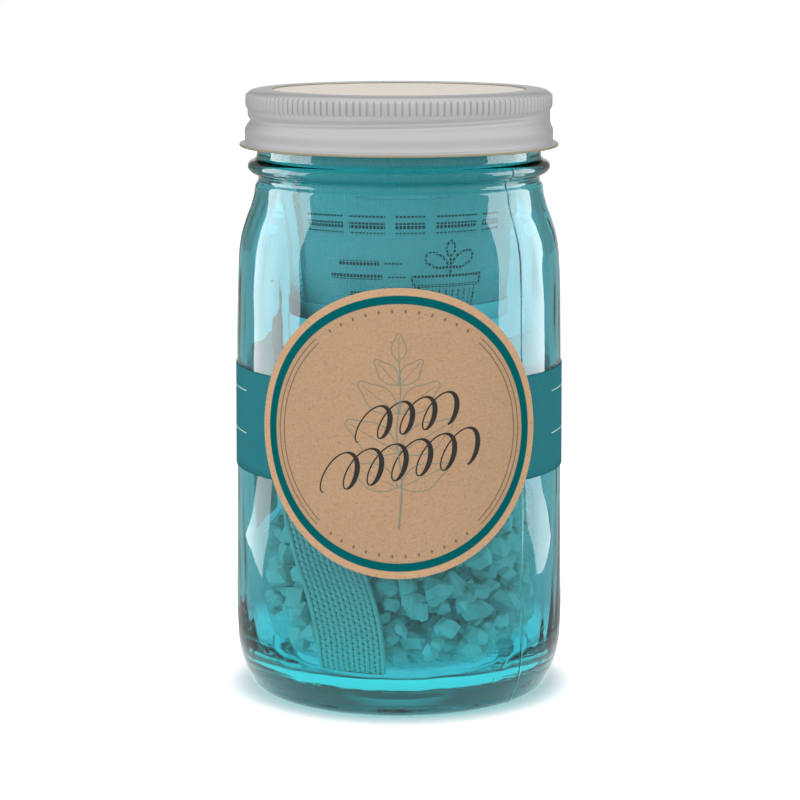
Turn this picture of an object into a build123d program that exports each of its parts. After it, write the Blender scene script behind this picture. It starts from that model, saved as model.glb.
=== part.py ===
from build123d import *
import math
import os
import random

# Hydroponic jar planter: a wide-mouth teal glass jar that holds a steel net pot, a wick and the
# grow supplies, closed by a card disc and a rolled screw band, with a paper sleeve and a round
# card label. Millimetres, +Z up, the front faces -Y, the origin is the middle of the jar's foot.
os.makedirs("parts", exist_ok=True)

# Jar glass: the finish, shoulder and foot follow the body, and heights above the side follow the lip
jar_height = 174.8
body_radius = 48.3
body_taper = 1.0
wall = 3.0
heel_height = 18.0
heel_inset = 8.2
foot_width = 3.7
push_up = 3.0
floor_height = 7.0
floor_crown = 1.4
inner_heel_round = 9.0
finish_inset = 6.9
finish_wall = 3.2
lip_round = 1.2
shoulder_drop = 48.8
bulge_drop = 40.0
bulge_inset = 2.0
bulge_wall = 3.7
collar_swell = 0.7
collar_blend = 0.4
collar_blend_drop = 29.9
shoulder_blend = 1.5
shoulder_top_drop = 32.2
collar_foot_drop = 27.6
collar_drop = 25.8
neck_groove = 0.3
neck_groove_drop = 23.6
bead_swell = 2.85
bead_top_drop = 17.6

# Screw thread of the jar, with the band's rolled thread just below it
thread_pitch = 5.08
thread_depth = 1.5
thread_root_half = 1.3
thread_crest_half = 0.5
thread_end_below_lip = 2.2
thread_turns = 1.1
thread_end_angle = 32.0
thread_bite = 0.4
thread_play = 0.2
groove_depth = 1.4
groove_root_half = 1.15
groove_crest_half = 0.4
groove_turns = 0.72
groove_end_angle = -2.0
groove_end_inset = 2.0
groove_floor_half = 0.25

# Screw band
sheet = 0.4
band_height = 16.6
band_clearance = 0.7
band_flange = 7.15
band_corner_round = 1.6
flare_width = 0.9
hem_overhang = 1.6
hem_wire = 0.65
knurl_depth = 0.38
knurl_root = 0.12
knurl_count = 140
knurl_top_drop = 1.4
knurl_height = 3.9
flare_top_drop = 9.4
flare_bottom_drop = 11.6

# Lid disc and seats
lid_play = 1.6
lid_thickness = 0.9
seat_gap = 0.05

# Net pot
pot_sheet = 0.5
pot_flange_inset = 0.2
pot_mouth_clearance = 1.45
pot_taper = 5.35
pot_depth = 63.0
pot_collar_height = 6.5
pot_fit = 0.05
mesh_thickness = 0.6
mesh_rows = 3
mesh_columns = 16
mesh_bar_share = 0.24
mesh_margin = 1.2
clamp_height = 5.0
clamp_lip = 2.6
base_hole = 5.0
base_hole_pitch = 7.0
base_hole_count = 7
seam_width = 6.0
seam_thickness = 0.3
seam_angle = 207.0

# Wick strap
wick_width = 19.5
wick_thickness = 2.2
wick_slot_gap = 0.3
wick_from_glass = 9.2
wick_slot_inset = 11.6
wick_foot_angle = 250.0
wick_head_angle = 221.0
wick_floor_gap = 0.3
wick_inside = 7.0
# Each row: share of the height, of the turn from foot to head, of the way in to the slot
wick_station_shares = (
    (0.0, 0.0, 0.0),
    (0.2, 0.32, 0.0),
    (0.34, 0.7, 0.0),
    (0.46, 0.94, 0.05),
    (0.62, 1.0, 0.24),
    (0.78, 1.0, 0.6),
    (0.88, 1.0, 0.9),
    (0.925, 1.0, 1.0),
    (1.0, 1.0, 1.0),
)

# Instruction sheet, rolled inside the net pot
roll_gap = 0.9
roll_thickness = 0.3
roll_headroom = 6.3
roll_arc = 325.0

# Medium bag, its seal and the chips in it
bag_from_glass = 3.8
bag_below_pot = 43.25
bag_film = 0.3
bag_floor_gap = 0.2
bag_sides = 16
bag_from_wick = 3.7
bag_wick_angle = 238.0
fin_width = 36.0
fin_thickness = 0.8
fin_height = 11.0
# Each row: share of the height, then shares of the radius for the size and the shift in X and Y
bag_section_shares = (
    (0.0, 0.7, 0.0, 0.0),
    (0.11, 0.93, 0.0, 0.0),
    (0.3, 1.0, 0.0, 0.0),
    (0.6, 1.0, 0.0, 0.0),
    (0.82, 0.85, 0.13, -0.05),
    (1.0, 0.5, 0.34, -0.08),
)
chip_size = 12.2
chip_gap = 0.35
chip_cut_shares = (0.3, 0.75)
chip_width_shares = (0.8, 1.25)
chip_seed = 11
layer_turn = 37.0

# Sachets and packet: the angle that the flat side faces, and the space to the glass or the pot
charcoal_thickness = 1.8
charcoal_width = 28.0
charcoal_height = 59.0
charcoal_angle = 188.0
charcoal_clearance = 0.93
charcoal_from_glass = 0.58
charcoal_rise = 9.15
seed_thickness = 1.5
seed_width = 34.0
seed_height = 55.0
seed_angle = 172.0
seed_from_glass = 0.2
seed_foot_share = 0.665
food_thickness = 3.0
food_width = 35.0
food_height = 37.0
food_angle = 335.0
food_from_glass = 0.7
food_above_bag = 1.9
packet_round = 0.6

# Paper sleeve and round label
paper = 0.35
sleeve_height = 29.9
sleeve_drop = 28.8
sleeve_lap_arc = 15.0
label_radius = 41.2
label_thickness = 0.4
label_rise = 1.15
label_spread = 10.7
label_gap = 0.05

# One length that every cut runs past its piece
overrun = 1.0

# Places that follow from the sizes above
foot_radius = body_radius - heel_inset
foot_inner_radius = foot_radius - foot_width
body_top_radius = body_radius - body_taper
finish_radius = body_radius - finish_inset
mouth_radius = finish_radius - finish_wall
shoulder_foot_height = jar_height - shoulder_drop
bulge_height = jar_height - bulge_drop
bulge_radius = body_radius - bulge_inset
collar_radius = finish_radius + collar_swell
collar_height = jar_height - collar_drop
neck_groove_radius = finish_radius - neck_groove
neck_groove_height = jar_height - neck_groove_drop
bead_top_height = jar_height - bead_top_drop
thread_crest_radius = finish_radius + thread_depth
band_inner_radius = thread_crest_radius + band_clearance
band_upper_radius = band_inner_radius + sheet
band_lower_radius = band_upper_radius + flare_width
band_opening_radius = band_upper_radius - band_flange
lid_radius = band_inner_radius - lid_play
pot_flange_radius = finish_radius - pot_flange_inset
pot_mouth_radius = mouth_radius - pot_mouth_clearance
pot_base_radius = pot_mouth_radius - pot_taper
inner_radius = body_radius - wall
side_slope = body_taper / (shoulder_foot_height - heel_height)
pot_seat = jar_height + seat_gap
pot_top = pot_seat + pot_sheet
pot_bottom = pot_seat - pot_depth
lid_bottom = pot_top + seat_gap
band_top = lid_bottom + lid_thickness + seat_gap + sheet
band_bottom = band_top - band_height
wick_foot = floor_height + wick_floor_gap
wick_top = pot_bottom + pot_sheet + wick_inside
wick_radius = inner_radius - wick_from_glass - wick_thickness / 2
wick_slot_radius = pot_base_radius - wick_slot_inset
bag_bottom = floor_height + floor_crown + bag_floor_gap
bag_height = pot_bottom - bag_below_pot - bag_bottom
bag_radius = inner_radius - bag_from_glass
bag_wick_offset = wick_radius - wick_thickness / 2 - bag_from_wick
sleeve_bottom = shoulder_foot_height - sleeve_drop - sleeve_height
label_height = sleeve_bottom + sleeve_height / 2 + label_rise
label_bend_radius = body_radius + label_spread


def side_radius(height):
    """Outer radius of the jar's nearly straight side at a height."""
    return body_radius - side_slope * (height - heel_height)


def pot_radius(height):
    """Outer radius of the net pot's tapered wall at a height."""
    return pot_base_radius + (pot_mouth_radius - pot_base_radius) * (height - pot_bottom) / pot_depth


def wick_place(share):
    """How far out the wick stands and the way it faces, at a share of its height."""
    for lower, upper in zip(wick_station_shares, wick_station_shares[1:]):
        if share <= upper[0]:
            break
    along = (share - lower[0]) / (upper[0] - lower[0])
    turn_share, way_share = (low + (high - low) * along for low, high in zip(lower[1:], upper[1:]))
    facing = wick_foot_angle + (wick_head_angle - wick_foot_angle) * turn_share
    return wick_radius + (wick_slot_radius - wick_radius) * way_share, facing


def turned_section(angle):
    """The upright section plane through Z, turned by an angle from +X."""
    turn = math.radians(angle)
    outward = (math.cos(turn), math.sin(turn), 0)
    return Plane(origin=(0, 0, 0), x_dir=outward, z_dir=(math.sin(turn), -math.cos(turn), 0))


def spiral_bar(low, rise, root_radius, crest_radius, root_half, crest_half):
    """A bar of tapered section that climbs right-handed round Z, from angle zero."""
    with BuildPart() as bar:
        with BuildLine() as path:
            Helix(thread_pitch, rise, root_radius, center=(0, 0, low))
        start = path.line @ 0
        with BuildSketch(Plane(origin=start, x_dir=(1, 0, 0), z_dir=path.line % 0)) as section:
            with BuildLine():
                Polyline(
                    (0, -root_half),
                    (crest_radius - root_radius, -crest_half),
                    (crest_radius - root_radius, crest_half),
                    (0, root_half),
                    close=True,
                )
            make_face()
        sweep(sections=section.sketch, path=path.line, is_frenet=True)
    return bar.part


# Jar: pressed glass with a heavy foot, a shoulder, a bead under the band and a screw finish
thread_rise = thread_pitch * thread_turns
thread_end = jar_height - thread_end_below_lip
jar_thread = spiral_bar(
    thread_end - thread_rise,
    thread_rise,
    finish_radius - thread_bite,
    thread_crest_radius,
    thread_root_half,
    thread_crest_half,
)

with BuildPart() as glass_jar:
    with BuildSketch(Plane.XZ) as jar_section:
        with BuildLine():
            underside = Line((0, push_up), (foot_inner_radius - push_up, push_up))
            Polyline(underside @ 1, (foot_inner_radius, 0), (foot_radius, 0))
            EllipticalCenterArc(
                (foot_radius, heel_height),
                heel_inset,
                heel_height,
                start_angle=270,
                arc_size=90,
            )
            side = Line(
                (body_radius, heel_height),
                (body_top_radius, shoulder_foot_height),
            )
            shoulder = ThreePointArc(
                side @ 1,
                (bulge_radius, bulge_height),
                (collar_radius + shoulder_blend, jar_height - shoulder_top_drop),
            )
            blend = ThreePointArc(
                shoulder @ 1,
                (collar_radius + collar_blend, jar_height - collar_blend_drop),
                (collar_radius, jar_height - collar_foot_drop),
            )
            groove = Polyline(
                blend @ 1,
                (collar_radius, collar_height),
                (neck_groove_radius, collar_height + collar_radius - neck_groove_radius),
                (neck_groove_radius, neck_groove_height),
            )
            bead = ThreePointArc(
                groove @ 1,
                (finish_radius + bead_swell, (neck_groove_height + bead_top_height) / 2),
                (finish_radius, bead_top_height),
            )
            finish = Polyline(
                bead @ 1,
                (finish_radius, jar_height),
                (mouth_radius, jar_height),
                (mouth_radius, collar_height),
            )
            inner_shoulder = ThreePointArc(
                finish @ 1,
                (bulge_radius - bulge_wall, bulge_height),
                (body_top_radius - wall, shoulder_foot_height),
            )
            Polyline(
                inner_shoulder @ 1,
                (inner_radius, floor_height),
                (inner_radius - inner_heel_round * 2, floor_height),
                (0, floor_height + floor_crown),
                underside @ 0,
            )
        make_face()
        fillet(jar_section.vertices().group_by(Axis.Y)[-1], lip_round)
        fillet(
            jar_section.vertices().sort_by_distance((inner_radius, floor_height))[0],
            inner_heel_round,
        )
    revolve(axis=Axis.Z)
    add(jar_thread, rotation=(0, 0, thread_end_angle - 360 * thread_turns))
glass_jar.part.label = "glass_jar"
export_step(glass_jar.part, "parts/glass_jar.step")


# Screw band: rolled tinplate with a knurled edge, a rolled thread and a wired hem
ridge_root_radius = band_inner_radius + sheet / 2
ridge_crest_radius = band_inner_radius - groove_depth
ridge_flank = (groove_root_half - groove_crest_half) / (ridge_root_radius - ridge_crest_radius)
ridge_half_at_thread = groove_crest_half + ridge_flank * (thread_crest_radius - ridge_crest_radius)
thread_drop = thread_crest_half + ridge_half_at_thread + thread_play
groove_rise = thread_pitch * groove_turns
groove_end = (
    thread_end - thread_drop - thread_pitch * (thread_end_angle - groove_end_angle) / 360
)
groove_out_radius = band_upper_radius + overrun
band_ridge = spiral_bar(
    groove_end - groove_rise,
    groove_rise,
    ridge_root_radius,
    ridge_crest_radius,
    groove_root_half,
    groove_crest_half,
)
inset_rise = thread_pitch * groove_end_inset / 360
band_groove = spiral_bar(
    groove_end - groove_rise + inset_rise,
    groove_rise - 2 * inset_rise,
    groove_out_radius,
    ridge_crest_radius + sheet,
    groove_floor_half + ridge_flank * (groove_out_radius - ridge_crest_radius - sheet),
    groove_floor_half,
)
groove_start_angle = groove_end_angle - 360 * groove_turns

with BuildPart() as screw_band:
    hem_x = band_lower_radius + hem_overhang - hem_wire
    hem_z = band_bottom + hem_wire
    with BuildSketch(Plane.XZ) as band_section:
        with BuildLine():
            Polyline(
                (band_opening_radius, band_top),
                (band_upper_radius, band_top),
                (band_upper_radius, band_top - flare_top_drop),
                (band_lower_radius, band_top - flare_bottom_drop),
                (band_lower_radius, hem_z + hem_wire + sheet),
                (hem_x, hem_z + sheet / 2),
                (hem_x, hem_z - sheet / 2),
                (band_lower_radius - sheet, hem_z + hem_wire),
                (band_lower_radius - sheet, band_top - flare_bottom_drop),
                (band_inner_radius, band_top - flare_top_drop),
                (band_inner_radius, band_top - sheet),
                (band_opening_radius, band_top - sheet),
                close=True,
            )
        make_face()
        fillet(
            band_section.vertices().sort_by_distance((band_upper_radius, band_top))[0],
            band_corner_round,
        )
        fillet(
            band_section.vertices().sort_by_distance((band_inner_radius, band_top - sheet))[0],
            band_corner_round - sheet,
        )
        with Locations((hem_x, hem_z)):
            Circle(hem_wire)
    revolve(axis=Axis.Z)
    with BuildSketch(Plane.XY.offset(band_top - knurl_top_drop - knurl_height)):
        with BuildLine():
            knurl_points = []
            for index in range(knurl_count):
                for half, rise in ((0, 0), (0.5, knurl_depth)):
                    turn = 2 * math.pi * (index + half) / knurl_count
                    radius = band_upper_radius + knurl_root + rise
                    knurl_points.append((radius * math.cos(turn), radius * math.sin(turn)))
            Polyline(*knurl_points, close=True)
        make_face()
        Circle(band_inner_radius + sheet / 2, mode=Mode.SUBTRACT)
    extrude(amount=knurl_height)
    add(band_ridge, rotation=(0, 0, groove_start_angle))
    add(band_groove, rotation=(0, 0, groove_start_angle + groove_end_inset), mode=Mode.SUBTRACT)
screw_band.part.label = "screw_band"
export_step(screw_band.part, "parts/screw_band.step")


# Lid disc: cut card that lies on the net pot's rim, inside the band
with BuildPart() as lid_disc:
    with BuildSketch(Plane.XY.offset(lid_bottom)):
        Circle(lid_radius)
    extrude(amount=lid_thickness)
lid_disc.part.label = "lid_disc"
export_step(lid_disc.part, "parts/lid_disc.step")


# Net pot rim: pressed flange that lies on the jar's lip, with a collar round the mesh
with BuildPart() as pot_rim:
    collar_low = pot_top - pot_collar_height
    with BuildSketch(Plane.XZ):
        with BuildLine():
            Polyline(
                (pot_radius(pot_top) + pot_fit, pot_top),
                (pot_flange_radius, pot_top),
                (pot_flange_radius, pot_seat),
                (pot_radius(pot_seat) + pot_fit + pot_sheet, pot_seat),
                (pot_radius(collar_low) + pot_fit + pot_sheet, collar_low),
                (pot_radius(collar_low) + pot_fit, collar_low),
                close=True,
            )
        make_face()
    revolve(axis=Axis.Z)
pot_rim.part.label = "pot_rim"
export_step(pot_rim.part, "parts/pot_rim.step")


# Net pot wall: one tapered net, coarser than the woven wire but as tall and as open
wall_low = pot_bottom + pot_sheet + pot_fit
mesh_low = pot_bottom + clamp_height + mesh_margin
mesh_high = collar_low - mesh_margin
row_pitch = (mesh_high - mesh_low) / mesh_rows
column_turn = 360 / mesh_columns
with BuildPart() as pot_wall:
    for inset, mode in ((0, Mode.ADD), (mesh_thickness, Mode.SUBTRACT)):
        with BuildSketch(Plane.XY.offset(wall_low)) as wall_foot:
            RegularPolygon(pot_radius(wall_low) - inset, mesh_columns)
        with BuildSketch(Plane.XY.offset(pot_top)) as wall_mouth:
            RegularPolygon(pot_radius(pot_top) - inset, mesh_columns)
        loft(sections=[wall_foot.sketch, wall_mouth.sketch], ruled=True, mode=mode)
    for row in range(mesh_rows):
        row_middle = mesh_low + row_pitch * (row + 0.5)
        column_pitch = 2 * math.pi * pot_radius(row_middle) / mesh_columns
        with Locations((0, 0, row_middle)):
            with PolarLocations(pot_radius(row_middle), mesh_columns, start_angle=column_turn / 2):
                Box(
                    mesh_thickness + 4 * overrun,
                    column_pitch * (1 - mesh_bar_share),
                    row_pitch * (1 - mesh_bar_share),
                    mode=Mode.SUBTRACT,
                )
pot_wall.part.label = "pot_wall"
export_step(pot_wall.part, "parts/pot_wall.step")


# Net pot foot ring: a clamp band with a lip that carries the wall and the base
with BuildPart() as pot_foot_ring:
    clamp_top = pot_bottom + clamp_height
    with BuildSketch(Plane.XZ):
        with BuildLine():
            Polyline(
                (pot_radius(pot_bottom) - clamp_lip, pot_bottom),
                (pot_radius(pot_bottom) + pot_fit + pot_sheet, pot_bottom),
                (pot_radius(clamp_top) + pot_fit + pot_sheet, clamp_top),
                (pot_radius(clamp_top) + pot_fit, clamp_top),
                (pot_radius(pot_bottom + pot_sheet) + pot_fit, pot_bottom + pot_sheet),
                (pot_radius(pot_bottom) - clamp_lip, pot_bottom + pot_sheet),
                close=True,
            )
        make_face()
    revolve(axis=Axis.Z)
pot_foot_ring.part.label = "pot_foot_ring"
export_step(pot_foot_ring.part, "parts/pot_foot_ring.step")


# Net pot base: a net disc inside the wall, with the slot that the wick comes through
slot_x = wick_slot_radius * math.cos(math.radians(wick_head_angle))
slot_y = wick_slot_radius * math.sin(math.radians(wick_head_angle))
base_radius = pot_radius(wall_low) - mesh_thickness - pot_fit
slot_clear = (wick_width + wick_thickness) / 2 + base_hole
hole_grid = GridLocations(base_hole_pitch, base_hole_pitch, base_hole_count, base_hole_count)
net_places = [
    place
    for place in hole_grid.local_locations
    if place.position.length < base_radius - clamp_lip - base_hole / 2
    and (place.position - Vector(slot_x, slot_y)).length > slot_clear
]
with BuildPart() as pot_base:
    with BuildSketch(Plane.XY.offset(wall_low)):
        RegularPolygon(base_radius, mesh_columns)
        with Locations(*net_places):
            Rectangle(base_hole, base_hole, mode=Mode.SUBTRACT)
        with Locations((slot_x, slot_y)):
            Rectangle(
                wick_width + 2 * wick_slot_gap,
                wick_thickness + 2 * wick_slot_gap,
                rotation=wick_head_angle - 90,
                mode=Mode.SUBTRACT,
            )
    extrude(amount=mesh_thickness)
pot_base.part.label = "pot_base"
export_step(pot_base.part, "parts/pot_base.step")


# Net pot seam: the lapped joint of the mesh, welded from the ring to the collar
seam_low = clamp_top + pot_fit
seam_high = collar_low - pot_fit
seam_arc = math.degrees(seam_width / pot_radius((seam_low + seam_high) / 2))
with BuildPart() as pot_seam:
    with BuildSketch(turned_section(seam_angle - seam_arc / 2)):
        with BuildLine():
            Polyline(
                (pot_radius(seam_low) + pot_fit, seam_low),
                (pot_radius(seam_high) + pot_fit, seam_high),
                (pot_radius(seam_high) + pot_fit + seam_thickness, seam_high),
                (pot_radius(seam_low) + pot_fit + seam_thickness, seam_low),
                close=True,
            )
        make_face()
    revolve(axis=Axis.Z, revolution_arc=seam_arc)
pot_seam.part.label = "pot_seam"
export_step(pot_seam.part, "parts/pot_seam.step")


# Wick: a knitted strap that stands on the jar's floor and passes the slot in the pot's base
with BuildPart() as wick:
    for height_share, *turn_and_way_shares in wick_station_shares:
        out, facing = wick_place(height_share)
        station = wick_foot + (wick_top - wick_foot) * height_share
        with BuildSketch(Plane.XY.offset(station)):
            with PolarLocations(out, 1, start_angle=facing):
                Rectangle(wick_thickness, wick_width)
    loft(ruled=True)
wick.part.label = "wick"
export_step(wick.part, "parts/wick.step")


# Instruction sheet: rolled inside the pot, standing on its base, open at the back
roll_low = wall_low + mesh_thickness + pot_fit
roll_high = pot_top - roll_headroom
roll_out = mesh_thickness + roll_gap
roll_start_angle = 270 - roll_arc / 2
with BuildPart() as instruction_sheet:
    with BuildSketch(turned_section(roll_start_angle)):
        with BuildLine():
            Polyline(
                (pot_radius(roll_low) - roll_out, roll_low),
                (pot_radius(roll_high) - roll_out, roll_high),
                (pot_radius(roll_high) - roll_out - roll_thickness, roll_high),
                (pot_radius(roll_low) - roll_out - roll_thickness, roll_low),
                close=True,
            )
        make_face()
    revolve(axis=Axis.Z, revolution_arc=roll_arc)
instruction_sheet.part.label = "instruction_sheet"
export_step(instruction_sheet.part, "parts/instruction_sheet.step")


def bag_plan(height):
    """Radius and middle of the medium bag's plan at a height."""
    share = (height - bag_bottom) / bag_height
    for lower, upper in zip(bag_section_shares, bag_section_shares[1:]):
        if share <= upper[0]:
            break
    along = (share - lower[0]) / (upper[0] - lower[0])
    return [bag_radius * (low + (high - low) * along) for low, high in zip(lower[1:], upper[1:])]


def bag_body(inset):
    """The bag's faceted body, drawn in by a thickness of film, flat where the wick passes."""
    with BuildPart() as body:
        for height_share, size_share, x_share, y_share in bag_section_shares:
            level = bag_bottom + inset + (bag_height - 2 * inset) * height_share
            with BuildSketch(Plane.XY.offset(level)):
                with Locations((bag_radius * x_share, bag_radius * y_share)):
                    RegularPolygon(bag_radius * size_share - inset, bag_sides)
        loft(ruled=True)
        turn = math.radians(bag_wick_angle)
        wick_side = Vector(math.cos(turn), math.sin(turn), 0)
        split(
            bisect_by=Plane(origin=wick_side * (bag_wick_offset - inset), z_dir=wick_side),
            keep=Keep.BOTTOM,
        )
    return body.part


# Medium bag: clear film round the chips, gathered into a flat seal on top
bag_top_radius, bag_top_x, bag_top_y = bag_plan(bag_bottom + bag_height)
with BuildPart() as medium_bag:
    add(bag_body(0))
    add(bag_body(bag_film), mode=Mode.SUBTRACT)
    with BuildSketch(Plane.XY.offset(bag_bottom + bag_height)):
        with Locations((bag_top_x, bag_top_y)):
            Rectangle(fin_width, fin_thickness)
    extrude(amount=fin_height)
medium_bag.part.label = "medium_bag"
export_step(medium_bag.part, "parts/medium_bag.step")


def fits_bag(x, y, level):
    """Whether a point keeps a chip's gap from the film at a height."""
    radius, middle_x, middle_y = bag_plan(level)
    flat = (radius - bag_film) * math.cos(math.pi / bag_sides) - chip_gap
    turn = math.radians(bag_wick_angle)
    towards_wick = x * math.cos(turn) + y * math.sin(turn)
    return (
        math.hypot(x - middle_x, y - middle_y) < flat
        and towards_wick < bag_wick_offset - bag_film - chip_gap
    )


# Medium chips: angular crushed mineral, packed in layers that each lie at their own angle
draw = random.Random(chip_seed)
chip_places = []
layer_count = int((bag_height - 2 * bag_film) / chip_size)
layer_pitch = (bag_height - 2 * bag_film - chip_gap) / layer_count
for layer in range(layer_count):
    low = bag_bottom + bag_film + chip_gap + layer_pitch * layer
    high = low + layer_pitch - chip_gap
    heading = math.radians(layer_turn * layer)
    row_edge = -bag_radius
    while row_edge < bag_radius:
        depth = chip_size * draw.uniform(*chip_width_shares)
        column_edge = -bag_radius + chip_size * draw.uniform(0, 1)
        while column_edge < bag_radius:
            width = chip_size * draw.uniform(*chip_width_shares)
            cuts = [draw.uniform(*chip_cut_shares) for corner in range(4)]
            corners = [
                (
                    x * math.cos(heading) - y * math.sin(heading),
                    x * math.sin(heading) + y * math.cos(heading),
                )
                for x in (column_edge, column_edge + width - chip_gap)
                for y in (row_edge, row_edge + depth - chip_gap)
            ]
            if all(fits_bag(x, y, level) for x, y in corners for level in (low, high)):
                middle = (column_edge + (width - chip_gap) / 2, row_edge + (depth - chip_gap) / 2)
                chip_places.append((heading, middle, width - chip_gap, depth - chip_gap, low, high, cuts))
            column_edge += width
        row_edge += depth


def chip(width, depth, height, cuts):
    """One angular chip: a block with four of its eight corners struck off."""
    with BuildPart() as stone:
        Box(width, depth, height)
        corners = ((1, 1, 1), (-1, -1, 1), (1, -1, -1), (-1, 1, -1))
        for (x, y, z), cut in zip(corners, cuts):
            outward = Vector(x / width, y / depth, z / height)
            corner = Vector(x * width / 2, y * depth / 2, z * height / 2)
            origin = corner * (1 - cut)
            split(bisect_by=Plane(origin=origin, z_dir=outward), keep=Keep.BOTTOM)
    return stone.part


chips = []
for heading, middle, width, depth, low, high, cuts in chip_places:
    spin = Rot(0, 0, math.degrees(heading))
    place = Pos(middle[0], middle[1], (low + high) / 2)
    chips.append(spin * place * chip(width, depth, high - low, cuts))
medium_chips = Compound(children=chips)
medium_chips.label = "medium_chips"
export_step(medium_chips, "parts/medium_chips.step")


def packet(thickness, width, height, angle, distance, lift, side):
    """A flat filled packet that stands on edge, facing an angle round the jar."""
    with BuildPart() as body:
        Box(thickness, width, height, align=(Align.MIN, Align.CENTER, Align.MIN))
        chamfer(body.edges().filter_by(Axis.Z), packet_round)
    return Rot(0, 0, angle) * Pos(distance, side, lift) * body.part


def half_chord(top, gap, distance):
    """Half the width inside the glass at a height, short of it by a gap, at a distance from Z."""
    return math.sqrt((side_radius(top) - wall - gap) ** 2 - distance**2)


# Charcoal sachet: wedged upright between the glass on one side and the wick and the pot's foot on the other
charcoal_top = pot_bottom + charcoal_rise
charcoal_lift = charcoal_top - charcoal_height
wick_out, wick_facing = wick_place((charcoal_lift - wick_foot) / (wick_top - wick_foot))
wick_turn = math.radians(wick_facing - charcoal_angle)
wick_edge = (wick_out + wick_thickness / 2) * math.cos(wick_turn) + wick_width / 2 * math.sin(wick_turn)
ring_edge = pot_radius(clamp_top) + pot_fit + pot_sheet
charcoal_distance = max(wick_edge, ring_edge) + charcoal_clearance
charcoal_face = charcoal_distance + charcoal_thickness
charcoal_side = half_chord(charcoal_top, charcoal_from_glass, charcoal_face) - charcoal_width / 2
charcoal_sachet = packet(
    charcoal_thickness,
    charcoal_width,
    charcoal_height,
    charcoal_angle,
    charcoal_distance,
    charcoal_lift,
    charcoal_side,
)
charcoal_sachet.label = "charcoal_sachet"
export_step(charcoal_sachet, "parts/charcoal_sachet.step")

# Seed packet: stands on the bag, against the left side of the glass
seed_lift = bag_bottom + bag_height * seed_foot_share
seed_face = half_chord(seed_lift + seed_height, seed_from_glass, seed_width / 2)
seed_distance = seed_face - seed_thickness
seed_packet = packet(
    seed_thickness, seed_width, seed_height, seed_angle, seed_distance, seed_lift, 0
)
seed_packet.label = "seed_packet"
export_step(seed_packet, "parts/seed_packet.step")

# Plant food sachet: stands on the bag, against the right side of the glass
food_lift = bag_bottom + bag_height + food_above_bag
food_face = half_chord(food_lift + food_height, food_from_glass, food_width / 2)
food_distance = food_face - food_thickness
plant_food_sachet = packet(
    food_thickness, food_width, food_height, food_angle, food_distance, food_lift, 0
)
plant_food_sachet.label = "plant_food_sachet"
export_step(plant_food_sachet, "parts/plant_food_sachet.step")


# Sleeve: a paper strip round the jar whose ends lap at the back
sleeve_top = sleeve_bottom + sleeve_height
with BuildPart() as sleeve:
    with BuildSketch(Plane.XZ):
        with BuildLine():
            Polyline(
                (side_radius(sleeve_bottom), sleeve_bottom),
                (side_radius(sleeve_bottom) + paper, sleeve_bottom),
                (side_radius(sleeve_top) + paper, sleeve_top),
                (side_radius(sleeve_top), sleeve_top),
                close=True,
            )
        make_face()
    revolve(axis=Axis.Z)
    with BuildSketch(turned_section(90 - sleeve_lap_arc / 2)):
        with BuildLine():
            Polyline(
                (side_radius(sleeve_bottom) + paper / 2, sleeve_bottom),
                (side_radius(sleeve_bottom) + 2 * paper, sleeve_bottom),
                (side_radius(sleeve_top) + 2 * paper, sleeve_top),
                (side_radius(sleeve_top) + paper / 2, sleeve_top),
                close=True,
            )
        make_face()
    revolve(axis=Axis.Z, revolution_arc=sleeve_lap_arc)
sleeve.part.label = "sleeve"
export_step(sleeve.part, "parts/sleeve.step")


# Round label: a stiff card disc glued to the sleeve's front, bent less than the jar
label_front = side_radius(sleeve_bottom) + paper + label_gap
label_half_width = label_bend_radius * math.sin(label_radius / label_bend_radius)
with BuildPart() as round_label:
    with BuildSketch(Plane.XY.offset(label_height - label_radius)):
        with Locations((0, label_bend_radius - label_front)):
            Circle(label_bend_radius + label_thickness)
            Circle(label_bend_radius, mode=Mode.SUBTRACT)
    extrude(amount=2 * label_radius)
    with BuildSketch(Plane.XZ):
        with Locations((0, label_height)):
            Ellipse(label_half_width, label_radius)
    extrude(amount=label_front + overrun, mode=Mode.INTERSECT)
round_label.part.label = "round_label"
export_step(round_label.part, "parts/round_label.step")

print("chips:", len(chips))
print("unscrewing rise per turn:", thread_pitch)
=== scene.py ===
import math
import random

import bmesh
import bpy
from mathutils import Matrix, Vector, noise


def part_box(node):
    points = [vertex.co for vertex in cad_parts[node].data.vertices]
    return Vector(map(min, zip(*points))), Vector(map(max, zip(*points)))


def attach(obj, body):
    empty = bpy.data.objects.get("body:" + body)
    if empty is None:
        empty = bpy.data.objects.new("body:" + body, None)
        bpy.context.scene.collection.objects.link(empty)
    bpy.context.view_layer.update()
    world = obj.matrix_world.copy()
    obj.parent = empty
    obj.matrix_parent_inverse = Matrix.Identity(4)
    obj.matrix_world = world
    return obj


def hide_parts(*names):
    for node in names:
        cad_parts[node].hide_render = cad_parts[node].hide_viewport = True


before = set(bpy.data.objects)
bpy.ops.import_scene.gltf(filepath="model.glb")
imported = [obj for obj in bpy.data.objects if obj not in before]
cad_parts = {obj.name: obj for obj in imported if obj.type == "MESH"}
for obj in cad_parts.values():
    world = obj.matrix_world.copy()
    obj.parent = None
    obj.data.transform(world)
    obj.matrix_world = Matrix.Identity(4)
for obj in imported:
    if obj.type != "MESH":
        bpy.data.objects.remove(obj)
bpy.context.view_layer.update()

# Jar: teal glass, pressed and then blown in a mould, about 3 mm thick, with a heavy foot, a bead under
# the band and a screw finish. The mould leaves a fine seam on two sides, and the inside is a little
# uneven, because it was blown against air.
mm = 0.001
jar_steps = 320
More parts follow.
